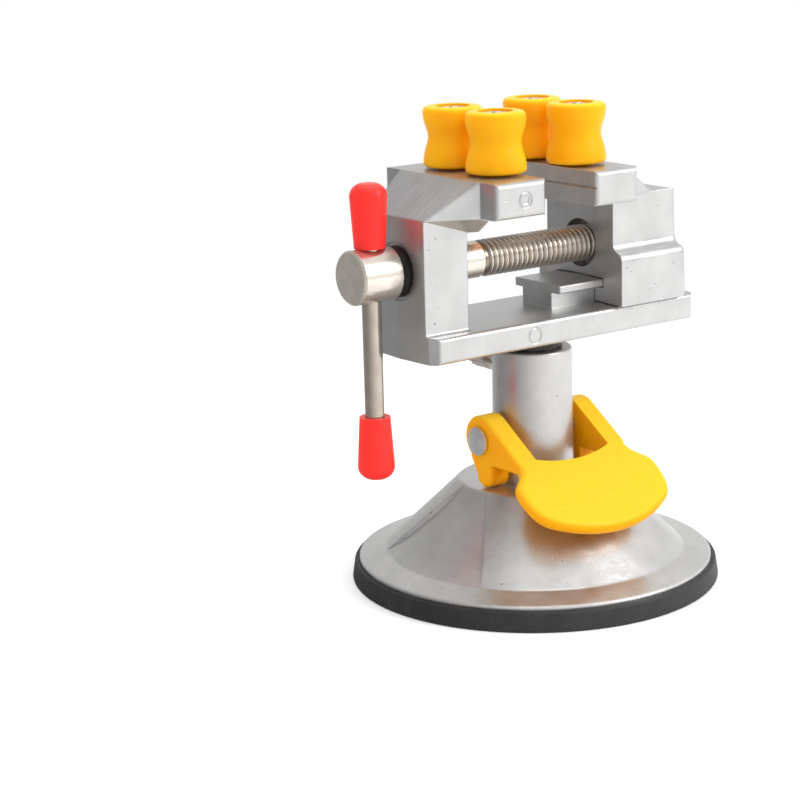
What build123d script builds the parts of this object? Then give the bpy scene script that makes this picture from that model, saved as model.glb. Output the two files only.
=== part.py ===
"""Suction base vise: a small bench vise on a post, held down by a lever-locked suction cup.

Millimetres.  +X runs along the bed from the handle end to the sliding jaw, -Y faces the lever
paddle and +Z is up.  The origin is the centre of the suction cup's sealing face.  The vise is
shown locked: the lever is down and the jaws are part open.
"""

from build123d import *
from math import acos, atan2, cos, hypot, radians, sin, sqrt, tan
import os

os.makedirs("parts", exist_ok=True)

# ------------------------------------------------------------------ fits and small details
running_gap = 0.10        # radial gap of a turning or sliding round fit
seated_gap = 0.02         # radial gap of a screwed or pressed-in pin
face_gap = 0.05           # gap between flat faces that turn or slide on each other
rail_gap = 0.15           # gap round the T-rail inside the sliding jaw
cam_gap = 0.12            # gap under the cam fingers in the locked position
casting_draft = 1.5       # degrees, away from the castings' parting plane Y = 0
casting_round = 0.8       # edge radius of the bed
hole_end_gap = 0.5        # left between a pin's end and the bottom of its hole
cut_over = 1.0            # how far a cutter stands outside the face that it cuts
pick_tolerance = 0.01     # for choosing corners by their place
sides = (-1, 1)           # left and right, or front and rear

# ------------------------------------------------------------------ suction cup
cup_radius = 38.0
cup_height = 4.0          # height of the rubber rim under the metal flange
cup_rim_taper = 0.6       # how far the rubber wall leans in
cup_lip_radius = 0.5
seal_width = 5.0
cup_hollow = 3.2          # rise of the hollow underside at the centre
membrane_thickness = 2.4
hub_radius = 12.0
hub_roof = 2.3            # rubber above the stud's plate
hub_pocket_gap = 0.4      # round the stud and its plate inside the hub

# ------------------------------------------------------------------ base dome
rim_radius = 36.4
rim_edge = 0.8            # height of the flange's upright edge
rim_round = 0.7
flange_rise = 2.2         # from the rubber to the foot of the cone
cone_foot_radius = 30.75
land_radius = 15.4        # the flat that the cam fingers press on
land_rise = 14.7          # from the foot of the cone to the flat
land_round = 1.2
dome_wall = 2.2
dome_seat_width = 3.0
guide_wall = 2.8
guide_depth = 6.4
scoop_depth = 0.9
scoop_top_half_width = 4.0
scoop_foot_half_width = 15.7
scoop_over = 2.0          # height of the scoop's cutter above the cone's surface

# ------------------------------------------------------------------ post and its plunger stud
post_radius = 8.35
post_top_radius = 8.12
post_above_land = 27.3
post_below_land = 5.9
post_guided_length = 8.0
post_edge_round = 0.5
stud_radius = 2.5
stud_engagement = 9.0
stud_plate_radius = 9.0
stud_plate_thickness = 1.5
stud_plate_round = 0.35
stud_plate_drop = 6.3     # from the post's lower end to the plate's top face

# ------------------------------------------------------------------ suction lever and its axle
cam_reach = 9.55          # from the axle down to the tip of the cam fingers
finger_tip_radius = 2.4
finger_lead = 1.3         # how far the finger tip lies ahead of the axle
lever_swing = 60.0        # degrees from locked to released
cup_lift = 1.7            # how far the lever draws the post up
boss_radius = 4.8
boss_rise = 0.35          # how far the arms' round ends stand above the axle
arm_gap = 1.1             # between the post and each lever arm
arm_thickness = 4.5
arm_edge_round = 0.8
arm_length = 12.5         # from the axle to the rear of the paddle
arm_drop = 2.1            # from the axle down to the paddle's rear edge
arm_depth = 4.7           # from the axle down to the arm's underside
arm_heel_reach = 1.5      # how far the arm's underside runs on inside the paddle
paddle_tilt = 36.0
paddle_thickness = 2.9
paddle_length = 19.6
paddle_half_width = 17.7
paddle_rear_hollow = 1.8
paddle_edge_round = 1.3
shoulder_start = 2.0      # the arms' straight run along the paddle
shoulder_round = 3.0
shoulder_end = (16.6, 4.4)  # where the straight shoulder ends: across and along the paddle
lobe_widest = 8.9         # where the paddle reaches its full width
lobe_corner = (14.2, 15.7)  # where the front arc starts
axle_radius = 1.95
axle_head_radius = 2.9
axle_head_thickness = 1.0
axle_head_crown = 0.45
axle_end_gap = 0.15

# ------------------------------------------------------------------ swivel spigot and lock screw
neck_height = 2.75        # from the post's top to the bed
neck_radius = 6.2
spigot_radius = 5.0
spigot_length = 11.2
spigot_chamfer = 0.5
spigot_stub_radius = 4.0
spigot_stub_length = 4.0
lock_groove_depth = 0.8
lock_groove_width = 3.8
lock_height_below_top = 2.9
lock_thread_radius = 2.0
lock_tip_radius = 1.5
lock_tip_length = 2.2
lock_neck_radius = 3.0
lock_neck_length = 2.4
lock_neck_standoff = 1.2  # bare thread between the post and the neck
knob_radius = 4.2
knob_thickness = 5.0
knob_flute_count = 24
knob_flute_radius = 0.42
knob_flute_depth = 0.28

# ------------------------------------------------------------------ vise body casting
bed_left = -31.8          # where the bed's full width starts, behind its slanted corners
bed_right = 34.0
bed_nose_margin = 0.2      # flat left on the bed's end outside the fillet at the upright's foot
bed_end_corner = 1.2      # the right end's corners are cut this far before they are rounded
bed_half_width = 11.8
bed_thickness = 5.2
upright_left = -33.1      # the bed's end is flush with the upright's outer face
jaw_root_x = -22.6        # inner face of the upright and back of the fixed jaw bar
upright_half_width = 8.95
upright_height = 22.4     # from the bed to the crook at the top outer edge
upright_edge_round = 0.4
upright_foot_round = 0.6
neck_edge_round = 0.4
jaw_height = 29.15        # from the bed to the top of both jaws
jaw_bar_depth = 6.95
jaw_bar_half_length = 18.05
jaw_bar_width = 12.2      # fixed bar, along X
jaw_bar_round = 1.0
jaw_neck_half_width = 13.0
fixed_crook_drop = 3.1    # how far each neck's underside falls towards its upright
sliding_crook_drop = 1.1
jaw_groove_depth = 0.45
jaw_groove_height = 0.9
jaw_groove_drop = 3.3
rail_left = 1.6
rail_right = 31.9
rail_stem_half_width = 4.6
rail_stem_height = 3.45
rail_plate_half_width = 7.2
rail_plate_thickness = 1.65
rail_edge_round = 0.35
ejector_mark_radius = 1.65
ejector_mark_groove = 0.3
ejector_mark_depth = 0.15
ejector_mark_point_radius = 1.1  # of the five-sided stamp inside the bar's mark
bed_mark_x = -8.6
bed_mark_z_offset = -0.1
bar_mark_x = -15.6
spotface_radius = 5.7
spotface_depth = 0.25

# ------------------------------------------------------------------ sliding jaw casting
jaw_opening = 12.4        # between the jaw bars
sliding_bar_width = 10.9
block_length = 17.2
block_top_half_width = 10.35
block_foot_half_width = 13.05
block_height = 22.3       # from the bed to the block's top
block_shoulder_height = 12.7
block_foot_height = 9.2
slope_run = 10.3          # length of the slope behind the bar
block_end_lean = 0.8      # how far the outer end's foot stands out past its top
block_round = 1.5
screw_port_radius = 5.0
screw_port_depth = 3.5
nut_across_flats = 11.0
nut_thickness = 6.5
nut_pocket_wall = 4.3     # from the block's outer end to the nut
nut_corner_gap = 0.05

# ------------------------------------------------------------------ lead screw
screw_axis_height = 11.75  # above the bed
thread_radius = 3.7
thread_pitch = 1.25
thread_depth = 0.62
thread_crest_flat = 0.24
thread_root_flat = 0.18
thread_start_x = -14.3
screw_end_x = 36.0
screw_head_radius = 5.3
screw_head_length = 9.3
screw_head_chamfer = 0.45
washer_thickness = 1.9
washer_radius = 5.05
retaining_pin_radius = 1.0
retaining_pin_length = 12.5
retaining_pin_inset = 5.0  # from the upright's outer face
retaining_groove_depth = 1.0
rib_sink = 0.05           # how far the thread's rib reaches into the core

# ------------------------------------------------------------------ handle
handle_radius = 1.9
handle_x_inset = 4.8      # from the head's outer face to the handle
handle_hole_gap = 0.15
cap_length = 12.4
cap_mouth_radius = 3.05
cap_wide_radius = 3.65
cap_wide_at = 9.7         # from the mouth to the widest ring
cap_end_radius = 1.6
cap_shoulder = 0.45       # how far the end's rounding stands outside a straight chamfer
cap_bore_depth = 10.0
handle_grip_span = 33.2   # rod between the mouths of the two caps

# ------------------------------------------------------------------ pegs and their screws
peg_radius = 5.95
peg_waist_radius = 4.95
peg_height = 12.3
peg_foot_radius = 5.6
peg_foot_height = 0.5     # the peg's body stands this far off the jaw, on a small hub
peg_hub_radius = 3.0
peg_lower_bulge = 1.2     # heights of the widest and narrowest rings
peg_waist_height = 6.4
peg_upper_bulge = 11.2
peg_crown_radius = 5.0
peg_crown_round = 0.4
peg_spacing = 13.65
fixed_peg_setback = 3.4   # from the fixed bar's clamping face to the peg axis
sliding_peg_setback = 4.4
peg_recess_radius = 3.5
peg_recess_depth = 2.2
peg_screw_radius = 1.5
peg_screw_head_radius = 3.0
peg_screw_head_height = 1.8
peg_screw_head_round = 0.6
peg_screw_grip = 5.6
driver_slot_width = 0.9
driver_slot_length = 3.4
driver_slot_depth = 1.0

# ------------------------------------------------------------------ heights worked out from the above
cone_foot_z = cup_height + flange_rise
land_z = cone_foot_z + land_rise
axle_z = land_z + cam_gap + cam_reach
post_bottom_z = land_z - post_below_land
post_top_z = land_z + post_above_land
bed_bottom_z = post_top_z + neck_height
bed_top_z = bed_bottom_z + bed_thickness
rail_plate_bottom_z = bed_top_z + rail_stem_height
rail_top_z = rail_plate_bottom_z + rail_plate_thickness
screw_z = bed_top_z + screw_axis_height
jaw_top_z = bed_top_z + jaw_height
bar_bottom_z = jaw_top_z - jaw_bar_depth
lock_z = post_top_z - lock_height_below_top
bed_ridge = bed_half_width * tan(radians(casting_draft))
rail_ridge = rail_plate_half_width * tan(radians(casting_draft))

# ------------------------------------------------------------------ places along X
fixed_face_x = jaw_root_x + jaw_bar_width
sliding_face_x = fixed_face_x + jaw_opening
block_left_x = sliding_face_x + sliding_bar_width
block_right_x = block_left_x + block_length
washer_seat_x = upright_left + spotface_depth
screw_head_right_x = washer_seat_x - washer_thickness - face_gap
screw_head_left_x = screw_head_right_x - screw_head_length
handle_x = screw_head_left_x + handle_x_inset
retaining_pin_x = upright_left + retaining_pin_inset
nut_x = block_right_x - nut_pocket_wall - nut_thickness
arm_inner_x = post_radius + arm_gap
arm_outer_x = arm_inner_x + arm_thickness


def plane_through(first, second, third, inside):
    """Plane through three points, with its normal towards the point named inside."""
    first, second, third = Vector(*first), Vector(*second), Vector(*third)
    normal = (second - first).cross(third - first).normalized()
    if normal.dot(Vector(*inside) - first) < 0:
        normal = -normal
    return Plane(origin=first, x_dir=second - first, z_dir=normal)


def finish(builder, label):
    """Name a finished piece and write it to its own file."""
    builder.part.label = label
    export_step(builder.part, f"parts/{label}.step")


# ================================================================== suction cup
# A rubber disc with a flat sealing ring, a hollow underside and a hub that holds the stud's plate.
plate_top_z = post_bottom_z - stud_plate_drop
plate_bottom_z = plate_top_z - stud_plate_thickness
pocket_floor_z = plate_bottom_z - cup_lift - face_gap
pocket_roof_z = plate_top_z + face_gap
pocket_radius = stud_plate_radius + hub_pocket_gap
hub_top_z = pocket_roof_z + hub_roof
seal_inner_radius = cup_radius - seal_width
membrane_outer_radius = rim_radius - dome_seat_width - membrane_thickness

with BuildPart() as suction_cup:
    with BuildSketch(Plane.XZ) as cup_section:
        with BuildLine():
            Line((0, cup_hollow), (hub_radius / 2, cup_hollow))
            hollow = TangentArc(
                (hub_radius / 2, cup_hollow), (seal_inner_radius, 0), tangent=(1, 0)
            )
            Polyline(
                hollow @ 1,
                (cup_radius, 0),
                (cup_radius - cup_rim_taper, cup_height),
                (membrane_outer_radius, cup_height),
                (hub_radius + membrane_thickness, cup_hollow + membrane_thickness),
                (hub_radius, cup_hollow + 2 * membrane_thickness),
                (hub_radius, hub_top_z),
                (stud_radius + hub_pocket_gap, hub_top_z),
                (stud_radius + hub_pocket_gap, pocket_roof_z),
                (pocket_radius, pocket_roof_z),
                (pocket_radius, pocket_floor_z),
                (0, pocket_floor_z),
                (0, cup_hollow),
            )
        make_face()
        outer_corners = cup_section.vertices().filter_by(lambda v: v.X > cup_radius - 2 * cup_rim_taper)
        fillet(outer_corners, radius=cup_lip_radius)
    revolve(axis=Axis.Z)
finish(suction_cup, "suction_cup")

# ================================================================== base dome
# A cast cone with a flat top, a flange over the rubber rim and a guide for the post.
cone_lean = atan2(land_rise, cone_foot_radius - land_radius)
wall_shift = dome_wall / sin(cone_lean)
guide_outer_radius = post_radius + running_gap + guide_wall
roof_underside_z = land_z - dome_wall
inner_foot_z = cone_foot_z - dome_wall / 2
inner_foot_radius = cone_foot_radius - wall_shift
inner_roof_radius = inner_foot_radius - (roof_underside_z - inner_foot_z) * (
    (cone_foot_radius - land_radius) / land_rise
)
dome_seat_radius = rim_radius - dome_seat_width

with BuildPart() as base_dome:
    with BuildSketch(Plane.XZ) as dome_section:
        with BuildLine():
            Polyline(
                (post_radius + running_gap, land_z),
                (land_radius, land_z),
                (cone_foot_radius, cone_foot_z),
                (rim_radius, cup_height + rim_edge),
                (rim_radius, cup_height),
                (dome_seat_radius, cup_height),
                (dome_seat_radius, inner_foot_z),
                (inner_foot_radius, inner_foot_z),
                (inner_roof_radius, roof_underside_z),
                (guide_outer_radius, roof_underside_z),
                (guide_outer_radius, land_z - guide_depth),
                (post_radius + running_gap, land_z - guide_depth),
                close=True,
            )
        make_face()
        upper_corners = dome_section.vertices().filter_by(
            lambda v: v.Y > cup_height + rim_edge / 2 and v.X > guide_outer_radius
        )
        flat_corner = upper_corners.filter_by(lambda v: abs(v.Y - land_z) < pick_tolerance)
        edge_corner = upper_corners.filter_by(lambda v: abs(v.X - rim_radius) < pick_tolerance)
        fillet(flat_corner, radius=land_round)
        fillet(edge_corner, radius=rim_round)
    revolve(axis=Axis.Z)

# Shallow hollows run down the cone below each cam flat and widen towards the flange.
slope_middle = ((land_radius + cone_foot_radius) / 2, (land_z + cone_foot_z) / 2)
scoop_middle = (
    slope_middle[0] - scoop_depth * sin(cone_lean),
    slope_middle[1] - scoop_depth * cos(cone_lean),
)
with BuildPart() as scoops:
    with BuildSketch(Plane.XZ):
        with BuildLine():
            ThreePointArc((land_radius, land_z), scoop_middle, (cone_foot_radius, cone_foot_z))
            Polyline(
                (cone_foot_radius, cone_foot_z),
                (cone_foot_radius + scoop_over, cone_foot_z + scoop_over),
                (land_radius + scoop_over, land_z + scoop_over),
                (land_radius, land_z),
            )
        make_face()
    revolve(axis=Axis.Z)
    scoop_foot_x = sqrt(cone_foot_radius**2 - scoop_foot_half_width**2)
    scoop_spread = (scoop_foot_half_width - scoop_top_half_width) / (scoop_foot_x - land_radius)
    scoop_end_x = cone_foot_radius + 2 * scoop_over
    scoop_end_half_width = scoop_top_half_width + scoop_spread * (scoop_end_x - land_radius)
    scoop_start_x = land_radius - scoop_top_half_width / scoop_spread
    with BuildSketch(Plane.XY.offset(cup_height)) as scoop_plan:
        for side in sides:
            with BuildLine():
                Polyline(
                    (side * scoop_start_x, 0),
                    (side * scoop_end_x, scoop_end_half_width),
                    (side * scoop_end_x, -scoop_end_half_width),
                    close=True,
                )
            make_face()
    extrude(amount=land_z, mode=Mode.INTERSECT)

with BuildPart() as base_dome_finished:
    add(base_dome.part)
    add(scoops.part, mode=Mode.SUBTRACT)
finish(base_dome_finished, "base_dome")

# ================================================================== post
# A cast column: its lower end slides in the dome's guide, its upper end takes the spigot.
with BuildPart() as post:
    with BuildSketch(Plane.XZ) as post_section:
        with BuildLine():
            Polyline(
                (0, post_bottom_z),
                (post_radius, post_bottom_z),
                (post_radius, post_bottom_z + post_guided_length),
                (post_top_radius, post_top_z),
                (0, post_top_z),
                close=True,
            )
        make_face()
    revolve(axis=Axis.Z)
    fillet(post.edges().filter_by(GeomType.CIRCLE).sort_by(Axis.Z)[-1], radius=post_edge_round)
    with Locations((0, 0, post_top_z)):
        Hole(spigot_radius + running_gap, depth=spigot_length + hole_end_gap)
    with Locations(Plane(origin=(0, 0, post_bottom_z), x_dir=(1, 0, 0), z_dir=(0, 0, -1))):
        Hole(stud_radius + seated_gap, depth=stud_engagement + hole_end_gap)
    with Locations(Plane(origin=(0, 0, axle_z), x_dir=(0, 1, 0), z_dir=(1, 0, 0))):
        Cylinder(axle_radius + seated_gap, 3 * post_radius, mode=Mode.SUBTRACT)
    with Locations(Plane(origin=(0, 0, lock_z), x_dir=(1, 0, 0), z_dir=(0, 1, 0))):
        Cylinder(
            lock_thread_radius + running_gap / 2,
            2 * post_radius,
            align=(Align.CENTER, Align.CENTER, Align.MIN),
            mode=Mode.SUBTRACT,
        )
finish(post, "post")

# ================================================================== plunger stud
# A steel stud screwed into the post; its round plate is moulded into the cup's hub.
with BuildPart() as plunger_stud:
    with BuildSketch(Plane.XY.offset(plate_bottom_z)):
        Circle(stud_plate_radius)
    extrude(amount=stud_plate_thickness)
    fillet(plunger_stud.edges(), radius=stud_plate_round)
    with BuildSketch(Plane.XY.offset(plate_bottom_z)):
        Circle(stud_radius)
    extrude(amount=post_bottom_z + stud_engagement - plate_bottom_z)
finish(plunger_stud, "plunger_stud")

# ================================================================== lever axle
# A rivet pin held in the post, with a crowned head outside each lever arm.
head_seat_x = arm_outer_x + axle_end_gap
head_edge_x = head_seat_x + axle_head_thickness - axle_head_crown
head_face_x = head_seat_x + axle_head_thickness
with BuildPart() as lever_axle:
    with BuildSketch(Plane.XZ):
        with BuildLine():
            TangentArc(
                (-head_face_x, axle_z), (-head_edge_x, axle_z + axle_head_radius), tangent=(0, 1)
            )
            Polyline(
                (-head_edge_x, axle_z + axle_head_radius),
                (-head_seat_x, axle_z + axle_head_radius),
                (-head_seat_x, axle_z + axle_radius),
                (head_seat_x, axle_z + axle_radius),
                (head_seat_x, axle_z + axle_head_radius),
                (head_edge_x, axle_z + axle_head_radius),
            )
            TangentArc(
                (head_face_x, axle_z), (head_edge_x, axle_z + axle_head_radius), tangent=(0, 1)
            )
            Line((head_face_x, axle_z), (-head_face_x, axle_z))
        make_face()
    revolve(axis=Axis((0, 0, axle_z), (1, 0, 0)))
finish(lever_axle, "lever_axle")

# ================================================================== suction lever
# A fork: two arms with cam fingers turn on the axle and carry a broad, tilted paddle.
paddle_rear_y = -arm_length
paddle_rear_z = axle_z - arm_drop
tilt = radians(paddle_tilt)
paddle_plane = Plane(
    origin=(0, paddle_rear_y, paddle_rear_z), x_dir=(1, 0, 0), z_dir=(0, -sin(tilt), cos(tilt))
)

with BuildPart() as paddle:
    with BuildSketch(paddle_plane) as paddle_outline:
        with BuildLine():
            rear = TangentArc((0, -paddle_rear_hollow), (arm_inner_x, 0), tangent=(1, 0))
            shoulder = Polyline(
                (arm_inner_x, 0),
                (arm_outer_x, 0),
                (arm_outer_x, -shoulder_start),
                (shoulder_end[0], -shoulder_end[1]),
            )
            front = TangentArc(
                (0, -paddle_length), (lobe_corner[0], -lobe_corner[1]), tangent=(1, 0)
            )
            Spline(
                shoulder @ 1,
                (paddle_half_width, -lobe_widest),
                front @ 1,
                tangents=(shoulder % 1, front % 1 * -1),
            )
            Line(rear @ 0, front @ 0)
        make_face()
        mirror(about=Plane.YZ)
        shoulder_corners = paddle_outline.vertices().filter_by(
            lambda v: abs(v.Y + shoulder_start) < pick_tolerance
        )
        fillet(shoulder_corners, radius=shoulder_round)
    extrude(amount=-paddle_thickness)
    broad_faces = paddle.faces().filter_by(paddle_plane)
    free_edges = broad_faces.edges().filter_by(lambda e: e.center().Y < paddle_rear_y - shoulder_start)
    fillet(free_edges, radius=paddle_edge_round)

tip_z = axle_z - cam_reach + finger_tip_radius
arm_underside_z = axle_z - arm_depth
finger_front_y = -finger_lead - finger_tip_radius
boss_flank = boss_radius * cos(radians(45))
boss_z = axle_z + boss_rise
# The arm's upper edge leaves the boss as a tangent and runs straight to the paddle's rear edge.
edge_bearing = atan2(paddle_rear_z - boss_z, paddle_rear_y)
tangent_bearing = edge_bearing - acos(boss_radius / hypot(paddle_rear_y, paddle_rear_z - boss_z))
boss_tangent = (boss_radius * cos(tangent_bearing), boss_z + boss_radius * sin(tangent_bearing))
with BuildPart() as lever_arm:
    with BuildSketch(Plane.YZ.offset(arm_inner_x)) as arm_profile:
        with Locations((0, boss_z)):
            Circle(boss_radius)
        with Locations((-finger_lead, tip_z)):
            Circle(finger_tip_radius)
        with BuildLine():
            Polyline(
                boss_tangent,
                (paddle_rear_y, paddle_rear_z),
                (paddle_rear_y - arm_heel_reach, arm_underside_z),
                (finger_front_y, arm_underside_z),
                (finger_front_y, axle_z),
                (0, axle_z),
                close=True,
            )
        make_face()
        with BuildLine():
            Polyline(
                (boss_flank, axle_z - boss_flank),
                (finger_tip_radius - finger_lead, tip_z),
                (finger_front_y, tip_z),
                (finger_front_y, axle_z),
                close=True,
            )
        make_face()
    extrude(amount=arm_thickness)
    outer_outline = lever_arm.faces().sort_by(Axis.X)[-1].edges()
    fillet(outer_outline, radius=arm_edge_round)

with BuildPart() as suction_lever:
    add(lever_arm.part)
    mirror(about=Plane.YZ)
    add(paddle.part)
    with Locations(Plane(origin=(0, 0, axle_z), x_dir=(0, 1, 0), z_dir=(1, 0, 0))):
        Cylinder(axle_radius + running_gap, 3 * arm_outer_x, mode=Mode.SUBTRACT)
finish(suction_lever, "suction_lever")

# ================================================================== swivel spigot
# A turned pin pressed into the bed; it turns in the post and its groove takes the lock screw.
with BuildPart() as swivel_spigot:
    with BuildSketch(Plane.XZ) as spigot_section:
        groove_radius = spigot_radius - lock_groove_depth
        with BuildLine():
            Polyline(
                (0, bed_bottom_z + spigot_stub_length),
                (spigot_stub_radius, bed_bottom_z + spigot_stub_length),
                (spigot_stub_radius, bed_bottom_z),
                (neck_radius, bed_bottom_z),
                (neck_radius, post_top_z + face_gap),
                (spigot_radius, post_top_z + face_gap),
                (spigot_radius, lock_z + lock_groove_width / 2),
                (groove_radius, lock_z + lock_groove_width / 2),
                (groove_radius, lock_z - lock_groove_width / 2),
                (spigot_radius, lock_z - lock_groove_width / 2),
                (spigot_radius, post_top_z - spigot_length),
                (0, post_top_z - spigot_length),
                close=True,
            )
        make_face()
        lower_corner = spigot_section.vertices().sort_by(Axis.Y)[0:2].sort_by(Axis.X)[-1]
        chamfer(lower_corner, length=spigot_chamfer)
    revolve(axis=Axis.Z)
finish(swivel_spigot, "swivel_spigot")

# ================================================================== lock screw
# A knurled thumbscrew in the back of the post; its tip bears on the spigot's groove.
lock_tip_y = spigot_radius - lock_groove_depth + face_gap
neck_start_y = post_top_radius + lock_neck_standoff
knob_start_y = neck_start_y + lock_neck_length
lock_plane = Plane(origin=(0, 0, lock_z), x_dir=(1, 0, 0), z_dir=(0, 1, 0))
with BuildPart() as lock_screw:
    with BuildSketch(lock_plane.offset(knob_start_y)):
        Circle(knob_radius)
        with PolarLocations(knob_radius + knob_flute_radius - knob_flute_depth, knob_flute_count):
            Circle(knob_flute_radius, mode=Mode.SUBTRACT)
    extrude(amount=knob_thickness)
    with BuildSketch(lock_plane.offset(neck_start_y)):
        Circle(lock_neck_radius)
    extrude(amount=lock_neck_length)
    with BuildSketch(lock_plane.offset(lock_tip_y + lock_tip_length)):
        Circle(lock_thread_radius)
    extrude(amount=neck_start_y - lock_tip_y - lock_tip_length)
    with BuildSketch(lock_plane.offset(lock_tip_y)):
        Circle(lock_tip_radius)
    extrude(amount=lock_tip_length)
finish(lock_screw, "lock_screw")


# ================================================================== shared casting forms
def cast_block(left, right, bottom, top, half_width, edge_radius):
    """A plain cast block whose front and rear outlines are rounded."""
    with BuildPart() as block:
        with BuildSketch(Plane.XZ):
            with Locations(((left + right) / 2, (bottom + top) / 2)):
                Rectangle(right - left, top - bottom)
        extrude(amount=half_width, both=True)
        rows = block.edges().group_by(Axis.Y)
        fillet(rows[0] + rows[-1], radius=edge_radius)
    return block.part


def ridged_bar(half_plan, half_section, edge_radius):
    """A cast bar along X, mirrored about Y = 0, with its half plan and half section as points."""
    left = min(point[0] for point in half_plan)
    right = max(point[0] for point in half_plan)
    with BuildPart() as bar:
        with BuildSketch(Plane.YZ.offset(left)):
            with BuildLine():
                Polyline(*half_section, close=True)
            make_face()
            mirror(about=Plane.YZ)
        extrude(amount=right - left)
        with BuildSketch(Plane.XY):
            with BuildLine():
                Polyline(*half_plan, close=True)
            make_face()
            mirror(about=Plane.XZ)
        extrude(amount=2 * jaw_top_z, mode=Mode.INTERSECT)
        rows = bar.edges().group_by(Axis.Y)
        fillet(rows[0] + rows[-1], radius=edge_radius)
    return bar.part


def jaw_slope(root_x, root_z, bar_x):
    """The sloped plane from the top of an upright up to the top edge of its jaw bar."""
    below = (root_x, 0, bar_bottom_z - fixed_crook_drop)
    return plane_through((root_x, 0, root_z), (root_x, 1, root_z), (bar_x, 0, jaw_top_z), below)


def jaw_neck(root_x, root_half_width, root_z, bar_x, crook_drop):
    """The wedge that joins a jaw bar to its upright: wider and higher at the bar."""
    heel_z = bar_bottom_z - crook_drop
    centre = ((root_x + bar_x) / 2, 0, bar_bottom_z)
    inside_bar_x = bar_x + (bar_x - root_x) / abs(bar_x - root_x) * jaw_bar_round * 2
    with BuildPart() as neck:
        with BuildSketch(Plane.XY.offset(heel_z)):
            with BuildLine():
                Polyline(
                    (root_x, -root_half_width),
                    (bar_x, -jaw_neck_half_width),
                    (inside_bar_x, -jaw_neck_half_width),
                    (inside_bar_x, jaw_neck_half_width),
                    (bar_x, jaw_neck_half_width),
                    (root_x, root_half_width),
                    close=True,
                )
            make_face()
        extrude(amount=jaw_top_z - heel_z)
        split(bisect_by=jaw_slope(root_x, root_z, bar_x), keep=Keep.TOP)
        for side in sides:
            underside = plane_through(
                (root_x, side * root_half_width, root_z),
                (bar_x, side * jaw_neck_half_width, bar_bottom_z),
                (bar_x, side * root_half_width, heel_z),
                centre,
            )
            split(bisect_by=underside, keep=Keep.TOP)
    return neck.part


def groove_cutter(face_x, direction):
    """A V-shaped cutter along a jaw's clamping face; direction points into the jaw."""
    groove_z = jaw_top_z - jaw_groove_drop
    with BuildPart() as cutter:
        with BuildSketch(Plane.XZ):
            with BuildLine():
                Polyline(
                    (face_x - direction, groove_z + jaw_groove_height),
                    (face_x + direction * jaw_groove_depth, groove_z),
                    (face_x - direction, groove_z - jaw_groove_height),
                    close=True,
                )
            make_face()
        extrude(amount=2 * jaw_bar_half_length, both=True)
    return cutter.part


# ================================================================== vise body
# One casting: bed, T-rail, upright and fixed jaw.
bed_section = (
    (0, bed_bottom_z - bed_ridge),
    (bed_half_width, bed_bottom_z),
    (bed_half_width, bed_top_z),
    (0, bed_top_z + bed_ridge),
)
rail_section = (
    (0, bed_top_z - rail_stem_height / 2),
    (rail_stem_half_width, bed_top_z - rail_stem_height / 2),
    (rail_stem_half_width, rail_plate_bottom_z),
    (rail_plate_half_width, rail_plate_bottom_z),
    (rail_plate_half_width, rail_top_z),
    (0, rail_top_z + rail_ridge),
)
bed_nose_half_width = upright_half_width + upright_foot_round + bed_nose_margin
bed_plan = (
    (upright_left, 0),
    (upright_left, -bed_nose_half_width),
    (bed_left, -bed_half_width),
    (bed_right - bed_end_corner, -bed_half_width),
    (bed_right, bed_end_corner - bed_half_width),
    (bed_right + bed_ridge, 0),
)
rail_plan = (
    (rail_left - rail_ridge, 0),
    (rail_left, -rail_plate_half_width),
    (rail_right, -rail_plate_half_width),
    (rail_right + rail_ridge, 0),
)
bed = ridged_bar(bed_plan, bed_section, casting_round)
rail = ridged_bar(rail_plan, rail_section, rail_edge_round)
upright_top_z = bed_top_z + upright_height
with BuildPart() as upright:
    with BuildSketch(Plane.XY.offset(bed_bottom_z + bed_thickness / 2)):
        with Locations(((upright_left + jaw_root_x) / 2, 0)):
            Rectangle(jaw_root_x - upright_left, 2 * upright_half_width)
    extrude(amount=jaw_top_z - bed_bottom_z - bed_thickness / 2)
    inner_corners = upright.edges().filter_by(Axis.Z).group_by(Axis.X)[-1]
    fillet(inner_corners, radius=upright_edge_round)
    split(bisect_by=jaw_slope(upright_left, upright_top_z, jaw_root_x), keep=Keep.TOP)
fixed_bar = cast_block(
    jaw_root_x, fixed_face_x, bar_bottom_z, jaw_top_z, jaw_bar_half_length, jaw_bar_round
)
fixed_neck = jaw_neck(upright_left, upright_half_width, upright_top_z, jaw_root_x, fixed_crook_drop)
fixed_groove = groove_cutter(fixed_face_x, -1)
fixed_peg_x = fixed_face_x - fixed_peg_setback
screw_plane = Plane(origin=(0, 0, screw_z), x_dir=(0, 1, 0), z_dir=(1, 0, 0))
pin_z = screw_z - (thread_radius - retaining_groove_depth) - retaining_pin_radius - face_gap
pin_plane = Plane(origin=(retaining_pin_x, upright_half_width, pin_z), x_dir=(1, 0, 0), z_dir=(0, 1, 0))

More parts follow.
